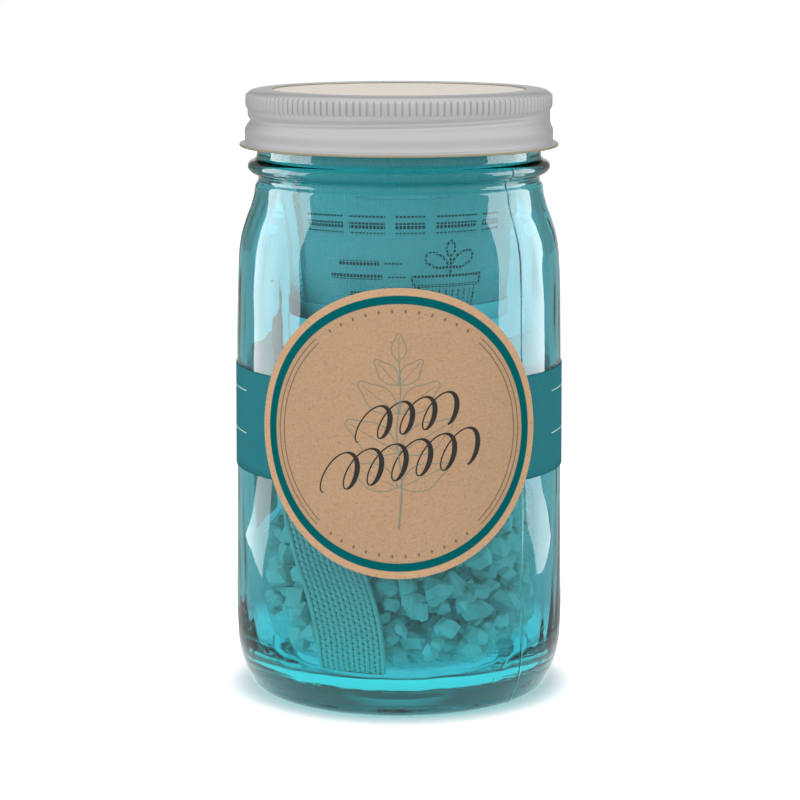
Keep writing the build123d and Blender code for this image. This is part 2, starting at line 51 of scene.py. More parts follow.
jar_outline = (
    (0.0, 3.4), (22.0, 3.2), (33.6, 2.6), (36.0, 0.6), (37.6, 0.0, "flat"), (40.4, 0.0, "flat"),
    (43.3, 1.2), (45.2, 4.4), (46.7, 8.0), (47.75, 12.4), (48.15, 18.0), (48.12, 40.0),
    (47.95, 62.0), (47.72, 97.0), (47.5, 112.0), (47.15, 124.0), (46.4, 132.8), (44.7, 139.2),
    (43.1, 143.6), (42.3, 146.8), (41.9, 149.4), (41.15, 150.6), (41.5, 151.9), (43.2, 152.9),
    (44.15, 154.4), (43.5, 156.0), (41.7, 157.1), (41.4, 158.4), (41.4, 160.6), (41.4, 162.8),
    (41.4, 165.0), (41.4, 167.2), (41.4, 169.4), (41.4, 171.2), (41.4, 172.6), (40.7, 174.3),
    (39.7, 174.8), (38.6, 174.1), (38.2, 172.6), (38.2, 158.0), (38.1, 150.0), (38.9, 145.6),
    (41.0, 139.6), (43.0, 133.4), (44.0, 124.0), (44.6, 100.0), (44.9, 66.0), (45.1, 36.0),
    (44.7, 21.0), (42.4, 12.6), (37.4, 8.6), (28.0, 7.4), (14.0, 8.0), (0.0, 8.3),
)
thread_pitch = 5.08
thread_depth = 1.5
thread_half = 1.25
thread_top = 172.6
thread_turns = 1.1
thread_end_angle = math.radians(32)
thread_taper = 18
finish_low = 158
seam_angle = math.radians(-43)
seam_height = 0.16
seam_half = 0.55
seam_gathering = 0.8
seam_top = 157
heel_low, heel_high = 9, 16
neck_low, neck_high = 136, 150
inside_coarse, inside_fine, floor_fine = 0.22, 0.1, 0.3
outside_coarse, outside_fine = 0.09, 0.12
# Where the sleeve lies, the outside is even: its middle, half its height and where it is uneven again.
even_middle, even_half, even_end = 82, 17, 25


def curve_mesh(curve):
    """The mesh that a curve makes."""
    holder = bpy.data.objects.new("holder", curve)
    bpy.context.collection.objects.link(holder)
    bpy.context.view_layer.update()
    mesh = bpy.data.meshes.new_from_object(holder)
    bpy.data.objects.remove(holder)
    return mesh


def smooth_path(places, resolution, flat=()):
    """Points of a smooth line through places in space; those with an index in flat end a straight stretch."""
    curve = bpy.data.curves.new("path", "CURVE")
    curve.dimensions = "3D"
    curve.resolution_u = resolution
    spline = curve.splines.new("BEZIER")
    spline.bezier_points.add(len(places) - 1)
    for index, (knot, place) in enumerate(zip(spline.bezier_points, places)):
        knot.co = place
        knot.handle_left_type = knot.handle_right_type = "VECTOR" if index in flat else "AUTO"
    mesh = curve_mesh(curve)
    line = [v.co.copy() for v in mesh.vertices]
    bpy.data.meshes.remove(mesh)
    return line


def smooth_line(points, resolution=5):
    """Points of a smooth line through (r, z) places in millimetres, some of them marked flat."""
    flat = [index for index, point in enumerate(points) if "flat" in point]
    return smooth_path([(point[0] * mm, 0, point[1] * mm) for point in points], resolution, flat)


def grid(columns, rows):
    """A flat grid, one wide and one high about the origin."""
    bm = bmesh.new()
    bmesh.ops.create_grid(bm, x_segments=columns, y_segments=rows, size=0.5)
    return bm


def polar(out, angle, z):
    """A place out from Z, at an angle round it and at a height."""
    return Vector((out * math.cos(angle), out * math.sin(angle), z))


def turned(line, steps, closed=False):
    """A surface turned round Z from a line of points; the layer "line" tells each point's place on it."""
    line = line + line[:1] if closed else line
    bm = grid(steps, len(line) - 1)
    order = bm.verts.layers.float.new("line")
    for vert in bm.verts:
        index = round((vert.co.y + 0.5) * (len(line) - 1))
        vert[order] = index
        vert.co = polar(line[index].x, math.tau * (vert.co.x + 0.5), line[index].z)
    bmesh.ops.remove_doubles(bm, verts=bm.verts, dist=0.005 * mm)
    return bm


def finished(name, bm, *rest, **settings):
    """A bmesh as a piece of the object, with all that placed asks for after the mesh."""
    bmesh.ops.recalc_face_normals(bm, faces=bm.faces)
    mesh = bpy.data.meshes.new(name)
    bm.to_mesh(mesh)
    bm.free()
    return placed(name, mesh, *rest, **settings)


def placed(name, mesh, material, body, slot, *nodes, smooth=True):
    """A mesh as a piece of the object: its material, the body it rides on, its slot (not used), what it
    replaces.
    """
    mesh.materials.clear()
    mesh.materials.append(material)
    mesh.polygons.foreach_set("use_smooth", [smooth] * len(mesh.polygons))
    piece = bpy.data.objects.new(name, mesh)
    bpy.context.scene.collection.objects.link(piece)
    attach(piece, body)
    if nodes:
        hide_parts(*nodes)
    return piece


def put(tree, kind, inputs=None, **settings):
    """A shader node with its settings, and its inputs set to values or joined to sockets."""
    made = tree.nodes.new("ShaderNode" + kind)
    for name, value in settings.items():
        setattr(made, name, value)
    for name, value in (inputs or {}).items():
        if isinstance(value, bpy.types.NodeSocket):
            tree.links.new(value, made.inputs[name])
        else:
            made.inputs[name].default_value = value
    return made


def paint(red, green, blue):
    """A colour written as on a screen, 0 to 255, as the shader wants it."""
    shares = [level / 255 for level in (red, green, blue)]
    return (*[s / 12.92 if s <= 0.04045 else ((s + 0.055) / 1.055) ** 2.4 for s in shares], 1)


def new_finish(name, colour, **values):
    """A material with one Principled shader, its plain values set on the shader's own sockets."""
    made = bpy.data.materials.new(name)
    made.use_nodes = True
    shader = made.node_tree.nodes["Principled BSDF"]
    shader.inputs["Base Color"].default_value = colour
    for key, value in values.items():
        shader.inputs[key.replace("_", " ")].default_value = value
    return made, made.node_tree, shader


def ridge(distance, half):
    """A smooth ridge, 1 on its line and 0 from half away."""
    share = max(0.0, 1 - abs(distance) / half)
    return share * share * (3 - 2 * share)


def ramp(value, low, high):
    """0 up to low, 1 from high, straight between."""
    return min(1.0, max(0.0, (value - low) / (high - low)))


def round_noise(angle, spread, height):
    """Noise that runs on round Z without a seam; a larger spread makes it finer."""
    return noise.noise(Vector((math.cos(angle) * spread, math.sin(angle) * spread, height)))


jar_line = smooth_line(jar_outline)
mouth_index = max(range(len(jar_line)), key=lambda index: jar_line[index].z)
bm = turned(jar_line, jar_steps)
order = bm.verts.layers.float["line"]
for vert in bm.verts:
    x, y, z = vert.co
    radius, angle, height = math.hypot(x, y) / mm, math.atan2(y, x), z / mm
    if radius < 1:
        continue
    angle -= seam_gathering / 2 * math.sin(2 * (angle - seam_angle))
    coarse = round_noise(angle, 2.6, height / 34)
    fine = round_noise(angle, 9, height / 16 + 7)
    if vert[order] > mouth_index:
        radius += (coarse * inside_coarse + fine * inside_fine) * (1 - ramp(height, neck_low, neck_high))
        if height < heel_high:
            height += fine * floor_fine * ramp(heel_high - height, 0, 6)
    elif height > heel_low:
        waves = (coarse * outside_coarse + fine * outside_fine) * ramp(height, heel_low, heel_high)
        radius += waves * ramp(abs(height - even_middle), even_half, even_end)
    if height < seam_top and vert[order] < mouth_index:
        off = (angle - seam_angle + math.pi / 2) % math.pi - math.pi / 2
        radius += seam_height * ridge(off * radius, seam_half)
    if height > finish_low and vert[order] < mouth_index:
        for turn in range(-3, 2):
            place = (angle - thread_end_angle) / math.tau + turn
            if -thread_turns <= place <= 0:
                ends = min(1.0, -place * thread_taper, (place + thread_turns) * thread_taper)
                radius += thread_depth * ends * ridge(height - thread_top - place * thread_pitch, thread_half)
    vert.co = polar(radius * mm, angle, height * mm)
bm.verts.layers.float.remove(order)

glass, tree, shader = new_finish(
    "teal_glass", (0.6, 0.79, 0.875, 1), Roughness=0.0, IOR=1.5, Transmission_Weight=1.0
)
depth = put(tree, "VolumeAbsorption", {"Color": (0.14, 0.957, 0.957, 1), "Density": 250.0})
path = put(tree, "LightPath")
through = put(tree, "BsdfTransparent", {"Color": (1.0, 0.985, 0.995, 1)})
shade = path.outputs["Is Shadow Ray"]
lamps = put(tree, "MixShader", {0: shade, 1: shader.outputs[0], 2: through.outputs[0]})
output = tree.nodes["Material Output"]
tree.links.new(lamps.outputs[0], output.inputs["Surface"])
tree.links.new(depth.outputs[0], output.inputs["Volume"])
jar_glass = finished("jar", bm, glass, "jar", "jar_glass", "glass_jar")


# Net pot wall: woven stainless wire at about 1 mm pitch, rolled to a taper. The upright wires and
# the hoops pass over and under each other.
wall_low, wall_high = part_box("pot_wall")
net_foot_radius = 31.1 * mm
net_mouth_radius = wall_high.x - 0.35 * mm
net_end_gap = 0.5 * mm
wire_radius = 0.125 * mm
weave_lift = 0.12 * mm
upright_count = 200
hoop_count = 56


def net_radius(z):
    """The middle of the net's wall at a height."""
    share = (z - wall_low.z) / (wall_high.z - wall_low.z)
    return net_foot_radius + (net_mouth_radius - net_foot_radius) * share


def strands(name, paths, radius, closed, *rest, sides=0):
    """Round wires or yarns along paths of points, as one piece; rest is what placed asks for."""
    curve = bpy.data.curves.new(name, "CURVE")
    curve.dimensions = "3D"
    curve.bevel_depth = radius
    curve.bevel_resolution = sides
    curve.use_fill_caps = not closed
    for path in paths:
        spline = curve.splines.new("POLY")
        spline.points.add(len(path) - 1)
        for knot, place in zip(spline.points, path):
            knot.co = (*place, 1)
        spline.use_cyclic_u = closed
    return placed(name, curve_mesh(curve), *rest)


def grain(tree, scale, detail, stretch=None):
    """The level of a noise texture, fixed to the piece and drawn out where stretch is given."""
    place = put(tree, "TexCoord").outputs["Object"]
    if stretch:
        place = put(tree, "Mapping", {"Vector": place, "Scale": stretch}).outputs[0]
    return put(tree, "TexNoise", {"Vector": place, "Scale": scale, "Detail": detail}).outputs["Fac"]


def blend(tree, share, first, second):
    """The first colour at share 0, the second at share 1."""
    return put(tree, "Mix", {0: share, 6: first, 7: second}, data_type="RGBA").outputs[2]


steel, tree, shader = new_finish("wire_steel", paint(230, 232, 234), Metallic=0.5, Roughness=0.4)
tarnished = blend(tree, grain(tree, 160.0, 3.0), paint(220, 222, 224), paint(246, 247, 248))
tree.links.new(tarnished, shader.inputs["Base Color"])

hoop_pitch = (wall_high.z - wall_low.z - 2 * net_end_gap) / (hoop_count - 1)
uprights = [[] for column in range(upright_count)]
hoops = [[] for row in range(hoop_count)]
for row in range(hoop_count):
    z = wall_low.z + net_end_gap + hoop_pitch * row
    for column in range(upright_count):
        angle = math.tau * column / upright_count
        lift = weave_lift * (1 if (row + column) % 2 else -1)
        uprights[column].append(polar(net_radius(z) + lift, angle, z))
        hoops[row].append(polar(net_radius(z) - lift, angle, z))
strands("net_uprights", uprights, wire_radius, False, steel, "pot", "pot_mesh", "pot_wall")
strands("net_hoops", hoops, wire_radius, True, steel, "pot", "pot_mesh")


# Net pot base: the same woven wire, cut to a disc that the foot ring clamps. It has the slot that the
# wick comes through.
base_low, base_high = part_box("pot_base")
base_z = (base_low.z + base_high.z) / 2
base_radius = 30.6 * mm
base_pitch = 1.1 * mm
base_lift = weave_lift * 0.7
slot_clearance = 0.4 * mm
wick_head_turn = math.radians(221)
wick_in = 19.8 * mm
wick_width = 19.5 * mm
wick_half_depth = 1.1 * mm
slot_outward = Vector((math.cos(wick_head_turn), math.sin(wick_head_turn)))


def in_slot(x, y):
    """Whether a point of the base lies in the wick's slot."""
    away = Vector((x, y)) - slot_outward * wick_in
    deep = abs(away.dot(slot_outward)) < wick_half_depth + slot_clearance
    return deep and abs(away.cross(slot_outward)) < wick_width / 2 + slot_clearance


count = int(base_radius / base_pitch)
base_wires = []
for turned_round in (False, True):
    for row in range(-count, count + 1):
        line = []
        for column in range(-count, count + 2):
            x, y = column * base_pitch, row * base_pitch
            if turned_round:
                x, y = y, x
            over = (1 if (row + column) % 2 else -1) * (1 if turned_round else -1)
            if math.hypot(x, y) > base_radius or in_slot(x, y):
                if len(line) > 1:
                    base_wires.append(line)
                line = []
            else:
                line.append((x, y, base_z + over * base_lift))
strands("net_base", base_wires, wire_radius * 0.8, False, steel, "pot", "pot_mesh", "pot_base")


# Net pot rim, foot ring and seam: pressed stainless strip. The rim hangs on the jar's lip, the ring
# clamps wall and base, and the seam strip is spot welded down the lapped ends of the net.
def bumped(tree, shader, height, strength, distance):
    """Gives a shader the relief of a level, and returns the normal of it."""
    normal = put(tree, "Bump", {"Height": height, "Strength": strength, "Distance": distance}).outputs[0]
    tree.links.new(normal, shader.inputs["Normal"])
    return normal


def mapped(tree, value, span=(0.0, 1.0), levels=(0.0, 1.0), **settings):
    """A value of a span taken to the same place between two levels."""
    inputs = {0: value, 1: span[0], 2: span[1], 3: levels[0], 4: levels[1]}
    return put(tree, "MapRange", inputs, **settings).outputs[0]


strip_steel, tree, shader = new_finish("strip_steel", paint(240, 241, 242), Metallic=0.5, Roughness=0.34)
drawn = grain(tree, 900.0, 2.0, stretch=(0.2, 0.2, 6.0))
bumped(tree, shader, drawn, 0.15, 0.0002)
tree.links.new(mapped(tree, drawn, levels=(0.26, 0.46)), shader.inputs["Roughness"])


def broken_edges(bm, offset, limit=0.6, segments=2):
    """Bevels the edges of a closed shape that are sharper than a limit."""
    sharp = [e for e in bm.edges if len(e.link_faces) == 2 and e.calc_face_angle(0) > limit]
    bmesh.ops.bevel(
        bm, geom=sharp, offset=offset, affect="EDGES", segments=segments, profile=0.5, material=-1,
        clamp_overlap=True,
    )


def strip_ring(name, outline, node):
    """A pressed ring turned from a closed outline, its edges broken."""
    bm = turned([Vector((r * mm, 0, z * mm)) for r, z in outline], 160, closed=True)
    bmesh.ops.recalc_face_normals(bm, faces=bm.faces)
    broken_edges(bm, 0.12 * mm)
    return finished(name, bm, strip_steel, "pot", "pot_steel", node)


def thickened(bm, thickness):
    """Gives an open surface its thickness."""
    bmesh.ops.recalc_face_normals(bm, faces=bm.faces)
    bmesh.ops.solidify(bm, geom=bm.faces[:], thickness=thickness)


rim_low, rim_high = (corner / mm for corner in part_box("pot_rim"))
strip_ring(
    "net_rim",
    (
        (36.85, rim_high.z), (rim_high.x, rim_high.z), (rim_high.x, rim_high.z - 0.5),
        (37.35, rim_high.z - 0.5), (36.8, rim_low.z), (36.35, rim_low.z),
    ),
    "pot_rim",
)
ring_low, ring_high = (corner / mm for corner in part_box("pot_foot_ring"))
strip_ring(
    "net_foot_ring",
    (
        (28.8, ring_low.z), (31.9, ring_low.z), (32.37, ring_high.z), (31.88, ring_high.z),
        (31.45, ring_low.z + 0.5), (28.8, ring_low.z + 0.5),
    ),
    "pot_foot_ring",
)
weld_low, weld_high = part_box("pot_seam")
weld_turn = math.radians(207)
weld_width = 6.0 * mm
weld_rows = 30
weld_proud = 0.5 * mm
weld_dimple = 0.2 * mm
bm = grid(24, 240)
for vert in bm.verts:
    across, along = vert.co.x + 0.5, vert.co.y + 0.5
    z = weld_low.z + (weld_high.z - weld_low.z) * along
    angle = weld_turn + (across - 0.5) * weld_width / net_radius(z)
    dimple = math.sin(along * weld_rows * math.tau) * math.sin(across * math.tau * 2)
    vert.co = polar(net_radius(z) + weld_proud + weld_dimple * dimple, angle, z)
thickened(bm, 0.12 * mm)
finished("net_seam", bm, strip_steel, "pot", "pot_steel", "pot_seam")


# Instruction sheet: thin white paper, rolled inside the net pot and held open by its own spring.
# Its print is a plain seedling in a pot, beside ruled lines.
roll_low, roll_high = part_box("instruction_sheet")
roll_arc = math.radians(325)
roll_radius = 34 * mm
roll_inset = 1.4 * mm
roll_ripple = 0.3 * mm
sheet_thick = 0.12 * mm
ink_proud = 0.03 * mm
ink_flatness = 0.05


def combined(tree, operation, first, second):
    """Two levels added, multiplied or otherwise combined."""
    return put(tree, "Math", {0: first, 1: second}, operation=operation).outputs[0]


def paper_fibres():
    """A node group that mottles a paper's colour and gives the height of its pressed fibres."""
    group = bpy.data.node_groups.new("paper_fibres", "ShaderNodeTree")
    for name, way, kind in (
        ("Colour", "INPUT", "Color"), ("Specks", "INPUT", "Color"), ("Speck Share", "INPUT", "Float"),
        ("Colour", "OUTPUT", "Color"), ("Height", "OUTPUT", "Float"),
    ):
        group.interface.new_socket(name, in_out=way, socket_type="NodeSocket" + kind)
    start = group.nodes.new("NodeGroupInput")
    end = group.nodes.new("NodeGroupOutput")
    pulp = grain(group, 1500.0, 4.0)
    fibres = mapped(group, grain(group, 900.0, 2.0, stretch=(1.0, 1.0, 3.2)), (0.58, 0.72))
    share = combined(group, "MULTIPLY", fibres, start.outputs["Speck Share"])
    specked = blend(group, share, start.outputs["Colour"], start.outputs["Specks"])
    shade = mapped(group, pulp, (0.25, 0.75), (0.9, 1.08))
    cloud = mapped(group, grain(group, 60.0, 3.0), levels=(0.96, 1.04))
    both = combined(group, "MULTIPLY", shade, cloud)
    toned = put(group, "VectorMath", {0: specked, "Scale": both}, operation="SCALE")
    group.links.new(toned.outputs[0], end.inputs["Colour"])
    group.links.new(pulp, end.inputs["Height"])
    return group


fibre_group = paper_fibres()


def paper_finish(name, colour, specks, speck_share, roughness=0.8, depth=0.00006, **values):
    """A paper or card: one colour with fibres, into which a node socket's colour can go instead."""
    made, tree, shader = new_finish(name, (0.8, 0.8, 0.8, 1), Roughness=roughness, **values)
    inputs = {"Colour": colour, "Specks": specks, "Speck Share": speck_share}
    fibres = put(tree, "Group", inputs, node_tree=fibre_group)
    tree.links.new(fibres.outputs["Colour"], shader.inputs["Base Color"])
    bumped(tree, shader, fibres.outputs["Height"], 0.5, depth)
    return made, tree, fibres


def inked(name, strokes, wrap, *rest):
    """Print on a paper: strokes drawn flat as (points, half widths), pressed flat and wrapped on."""
    curve = bpy.data.curves.new(name, "CURVE")
    curve.dimensions = "3D"
    curve.bevel_depth = mm
    curve.bevel_resolution = 1
    curve.use_fill_caps = True
    for points, half_widths in strokes:
        spline = curve.splines.new("POLY")
        spline.points.add(len(points) - 1)
        for index, (knot, (across, up)) in enumerate(zip(spline.points, points)):
            knot.co = (across * mm, up * mm, 0, 1)
            share = index / (len(points) - 1) * (len(half_widths) - 1)
            low = min(int(share), len(half_widths) - 1)
            high = min(low + 1, len(half_widths) - 1)
            knot.radius = half_widths[low] + (half_widths[high] - half_widths[low]) * (share - low)
    mesh = curve_mesh(curve)
    for vert in mesh.vertices:
        across, up, off = vert.co
        vert.co = wrap(across, up, ink_proud + off * ink_flatness)
    return placed(name, mesh, *rest, smooth=False)


def ink(name, colour, lighter):
    """A printed ink, matt and a little uneven."""
    made, tree, shader = new_finish(name, colour, Roughness=0.72)
    tree.links.new(blend(tree, grain(tree, 1200.0, 3.0), colour, lighter), shader.inputs["Base Color"])
    return made


def pen(points, *half_widths, steps=24):
    """A stroke along a smooth line through a few flat places, its half widths spread along it."""
    line = smooth_path([(across, up, 0) for across, up in points], steps)
    return [(place.x, place.y) for place in line], half_widths


def on_roll(across, up, proud):
    """A place on the rolled sheet, across from its front and up from its foot."""
    z = roll_low.z + up
    angle = math.radians(270) + across / roll_radius
    ripple = round_noise(angle, 2, z / mm / 30) * roll_ripple
    return polar(net_radius(z) - roll_inset + ripple + proud, angle, z)


def on_roll_face(across, up, proud):
    """A place on the rolled sheet's outer face, clear of the paper's thickness."""
    return on_roll(across, up, sheet_thick + proud)


bm = grid(160, 20)
for vert in bm.verts:
    vert.co = on_roll(vert.co.x * roll_arc * roll_radius, (vert.co.y + 0.5) * (roll_high.z - roll_low.z), 0)
thickened(bm, sheet_thick)
sheet_paper = paper_finish("sheet_paper", paint(236, 235, 230), paint(200, 198, 190), 0.2)[0]
finished("instruction_roll", bm, sheet_paper, "pot", "sheet_paper", "instruction_sheet")
sheet_ink = ink("sheet_ink", paint(44, 52, 56), paint(70, 80, 84))
strokes = []
for height, half_width in ((29.5, 0.3), (26.6, 0.95), (24.6, 0.3)):
    for start, end in ((-31, -17), (-15, -4), (-1, 8), (11, 25), (27, 36)):
        strokes.append(pen([(start, height), (end, height)], half_width))
for height, start, end in ((16.2, -19, -6), (12.4, -22, -5), (7.4, -16, -6), (3.8, -20, -7)):
    strokes.append(pen([(start, height), (end, height)], 0.75))
    strokes.append(pen([(end + 1.5, height), (end + 7, height)], 0.22))
pot_figure = (
    [(4, 12.5), (28, 12.5)], [(4.6, 9.8), (27.4, 9.8)], [(4, 12.5), (4.6, 9.8)], [(28, 12.5), (27.4, 9.8)],
    [(6, 9.8), (7.4, 4), (9, -0.6)], [(26, 9.8), (24.6, 4), (23, -0.6)], [(9, -0.6), (16, -1), (23, -0.6)],
    [(16, 12.5), (16.4, 15.5), (15.8, 18)], [(16, 15), (19, 18.6), (24, 18.4), (20.6, 15.2), (16, 15)],
    [(16, 15), (12.8, 18.4), (8, 18), (11.6, 15), (16, 15)], [(15.8, 17.6), (14.6, 20.4), (16, 22.6)],
    [(15.8, 17.6), (17.6, 20.4), (16, 22.6)],
)
strokes += [pen(line, 0.4) for line in pot_figure]
for rule in range(8):
    across = 8.4 + rule * 2.2
    strokes.append(pen([(across, 8.8), (across * 0.86 + 2.2, 0.4)], 0.24))
inked("sheet_print", strokes, on_roll_face, sheet_ink, "pot", "sheet_paper")


# Wick: a knitted cotton strap, 19.5 mm wide, which stands on the jar's floor and goes up through the
# slot in the pot's base. Wavy ribs of yarn meet and part, so short slits show between them.
wick_low, wick_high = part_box("wick")
wick_foot_turn = math.radians(248)
wick_out = 35.0 * mm
yarn_count = 13
yarn_radius = 0.68 * mm
yarn_sway = 0.27 * mm
knit_period = 1.9 * mm
yarn_start = 1.1 * mm
yarn_off, yarn_wave = 0.36, 0.07
core_share = 0.94
wick_stations = (
    (0.0, 0.0, 0.0, 8), (0.1, 0.04, 0.0, 13), (0.2, 0.17, 0.0, 19), (0.34, 0.52, 0.0, 22),
    (0.46, 0.84, 0.05, 18), (0.62, 1.0, 0.25, 6), (0.78, 1.0, 0.62, 0), (0.88, 1.0, 0.9, 0),
    (0.93, 1.0, 1.0, 0), (1.0, 1.0, 1.0, 0),
)


middle_places, edge_places = [], []
for height_share, turn_share, way_share, twist in wick_stations:
    facing = wick_foot_turn + (wick_head_turn - wick_foot_turn) * turn_share
    out = wick_out + (wick_in - wick_out) * way_share
    z = wick_low.z + (wick_high.z - wick_low.z) * height_share
    middle = polar(out, facing, z)
    facing += math.radians(twist)
    middle_places.append(middle)
    edge_places.append(middle + Vector((-math.sin(facing), math.cos(facing), 0)) * wick_width / 2)
wick_middle = smooth_path(middle_places, 60)
wick_edge = smooth_path(edge_places, 60)
wick_runs = [0.0]
for before, after in zip(wick_middle, wick_middle[1:]):
    wick_runs.append(wick_runs[-1] + (after - before).length)


def on_wick(index, side, proud):
    """A place on the strap: side from -1 to 1 across it, proud of its middle."""
    along = wick_middle[min(index + 1, len(wick_middle) - 1)] - wick_middle[max(index - 1, 0)]
    across = (wick_edge[index] - wick_middle[index]).normalized()
    outward = across.cross(along).normalized()
    return wick_middle[index] + across * (side * wick_width / 2) + outward * proud


cotton, tree, shader = new_finish(
    "knit_cotton", paint(224, 222, 212), Roughness=0.9, Sheen_Weight=0.2, Sheen_Roughness=0.5
)
fuzz = grain(tree, 2600.0, 3.0)
tree.links.new(blend(tree, fuzz, paint(186, 184, 174), paint(236, 234, 226)), shader.inputs["Base Color"])
bumped(tree, shader, fuzz, 0.6, 0.00012)

yarns = []
yarn_reach = 1 - yarn_radius / (wick_width / 2)
for face in (1, -1):
    for column in range(yarn_count):
        centre = -1 + 2 * column / (yarn_count - 1)
        at_edge = column in (0, yarn_count - 1)
        sway = 0 if at_edge else yarn_sway / (wick_width / 2) * (1 if column % 2 else -1)
        line = []
        for index, run in enumerate(wick_runs):
            if run < yarn_start:
                continue
            phase = math.tau * run / knit_period + (math.pi / 2 if face < 0 else 0)
            side = centre * yarn_reach + sway * math.sin(phase)
            line.append(on_wick(index, side, face * (yarn_off + yarn_wave * math.cos(2 * phase)) * mm))
        yarns.append(line)
yarn_piece = strands("wick_yarns", yarns, yarn_radius, False, cotton, "pot", "wick_knit", sides=1)
# The core is a dark sheet between the two faces of yarn: painted shade that shows through the slits between
# the ribs.
bm = grid(len(wick_middle) - 1, 2)
for vert in bm.verts:
    index = round((vert.co.x + 0.5) * (len(wick_middle) - 1))
    vert.co = on_wick(index, vert.co.y * 2 * core_share, 0)
knit_shade = new_finish("knit_shade", paint(112, 110, 102), Roughness=0.95)[0]
shade_core = finished("wick_shade_core", bm, knit_shade, "pot", "wick_knit", "wick")


# Grow medium: crushed mineral chips, about 4 to 11 mm, packed in the bag. Each is broken, so it has
# blunt flat faces and corners.
bag_low, bag_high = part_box("medium_bag")
bag_body_top = bag_high.z - 11.0 * mm
bag_radius = 40.6 * mm
wick_side = polar(1, math.radians(238), 0)
wick_side_limit = 29.4 * mm
chip_count = 620
chip_least, chip_spread, chip_bias = 2.2, 3.1, 1.4
chip_corners = 17
chip_bluntness = 3.2
chip_touch = 0.84
cell = 10.0 * mm
draw = random.Random(5)
bag_sections = (
    (0.0, 0.74, 0.0, 0.0), (0.11, 0.95, 0.0, 0.0), (0.3, 1.0, 0.0, 0.0), (0.6, 1.0, 0.0, 0.0),
    (0.82, 0.85, 0.13, -0.05), (1.0, 0.5, 0.34, -0.08),
)


def bag_plan(z):
    """Radius and middle of the bag at a height."""
    share = ramp(z, bag_low.z, bag_body_top)
    for lower, upper in zip(bag_sections, bag_sections[1:]):
        if share <= upper[0]:
            break
    way = (share - lower[0]) / (upper[0] - lower[0])
    size, x, y = (low + (high - low) * way for low, high in zip(lower[1:], upper[1:]))
    return bag_radius * size, bag_radius * x, bag_radius * y


def keep_in_bag(place, size):
    """Moves a place inward until a chip of that size is inside the bag."""
    place.z = min(max(place.z, bag_low.z + size), bag_body_top - size * 0.6)
    radius, x, y = bag_plan(place.z)
    room = max(radius - size, size)
    flat = Vector((place.x - x, place.y - y, 0))
    if flat.length > room:
        flat *= room / flat.length
    place.x, place.y = x + flat.x, y + flat.y
    past = place.dot(wick_side) + size - wick_side_limit
    if past > 0:
        place -= wick_side * past


def cell_of(place):
    """The cell of space that a place lies in, so that only near chips are compared."""
    return tuple(int(c // cell) for c in place)


sizes = [(chip_least + chip_spread * draw.random() ** chip_bias) * mm for chip in range(chip_count)]
places = []
for size in sizes:
    angle, reach = draw.uniform(0, math.tau), math.sqrt(draw.random())
    z = draw.uniform(bag_low.z, bag_body_top)
    radius, x, y = bag_plan(z)
    places.append(Vector((x + radius * reach * math.cos(angle), y + radius * reach * math.sin(angle), z)))
nearby = [(dx, dy, dz) for dx in (-1, 0, 1) for dy in (-1, 0, 1) for dz in (-1, 0, 1)]
for settling in range(24):
    cells = {}
    for index, place in enumerate(places):
        cells.setdefault(cell_of(place), []).append(index)
    for index, place in enumerate(places):
        home = cell_of(place)
        for step in nearby:
            for other in cells.get(tuple(a + b for a, b in zip(home, step)), ()):
                apart = place - places[other]
                gap = (sizes[index] + sizes[other]) * chip_touch - apart.length
                if other > index and gap > 0 and apart.length > 0:
                    push = apart.normalized() * gap / 2
                    place += push
                    places[other] -= push
        keep_in_bag(place, sizes[index])

bm = bmesh.new()
for size, place in zip(sizes, places):
    corners = []
    reach = (draw.uniform(0.85, 1.15), draw.uniform(0.8, 1.1), draw.uniform(0.65, 0.95))
    spin = Matrix.Rotation(draw.uniform(0, math.tau), 3, Vector([draw.uniform(-1, 1) for axis in range(3)]))
    for corner in range(chip_corners):
        way = [draw.gauss(0, 1) for axis in range(3)]
        blunt = sum(abs(w) ** chip_bluntness for w in way) ** (1 / chip_bluntness)
        way = spin @ Vector([w / blunt * r * draw.uniform(0.9, 1.0) for w, r in zip(way, reach)])
        corners.append(bm.verts.new(place + way * size))
    hull = bmesh.ops.convex_hull(bm, input=corners, use_existing_faces=False)
    loose = [g for g in hull["geom_interior"] + hull["geom_unused"] if isinstance(g, bmesh.types.BMVert)]
    bmesh.ops.delete(bm, geom=list(set(loose)), context="VERTS")
broken_edges(bm, 0.2 * mm, limit=0.3, segments=1)
chip_stone, tree, shader = new_finish("chip_stone", paint(224, 224, 216), Roughness=0.88)
place = put(tree, "TexCoord")
each = put(tree, "TexVoronoi", {"Vector": place.outputs["Object"], "Scale": 130.0})
pores = grain(tree, 900.0, 5.0)
stained = blend(tree, each.outputs["Distance"], paint(238, 238, 230), paint(204, 205, 196))
tree.links.new(blend(tree, pores, stained, paint(244, 244, 238)), shader.inputs["Base Color"])
bumped(tree, shader, pores, 0.8, 0.0004)
finished("chips", bm, chip_stone, "jar", "chip_stone", "medium_chips", smooth=False)


# Medium bag: thin clear film drawn round the chips and gathered on top. It lies in small folds,
# which catch the light.
film_stand = 0.4 * mm
film_proud, film_crease, film_fold = 0.7, 2.4, 0.9
film, tree, shader = new_finish("clear_film", (0.95, 0.97, 0.97, 1), Metallic=1.0, Roughness=0.1)
crumple = bumped(tree, shader, grain(tree, 150.0, 3.0), 0.8, 0.0016)
clear = put(tree, "BsdfTransparent", {"Color": (0.97, 0.98, 0.98, 1)})
sheen = put(tree, "LayerWeight", {"Blend": 0.25, "Normal": crumple})
shine = mapped(tree, sheen.outputs["Fresnel"], levels=(0.03, 0.5))
both = put(tree, "MixShader", {0: shine, 1: clear.outputs[0], 2: shader.outputs[0]})
tree.links.new(both.outputs[0], tree.nodes["Material Output"].inputs["Surface"])
bm = bmesh.new()
bmesh.ops.create_uvsphere(bm, u_segments=220, v_segments=120, radius=1)
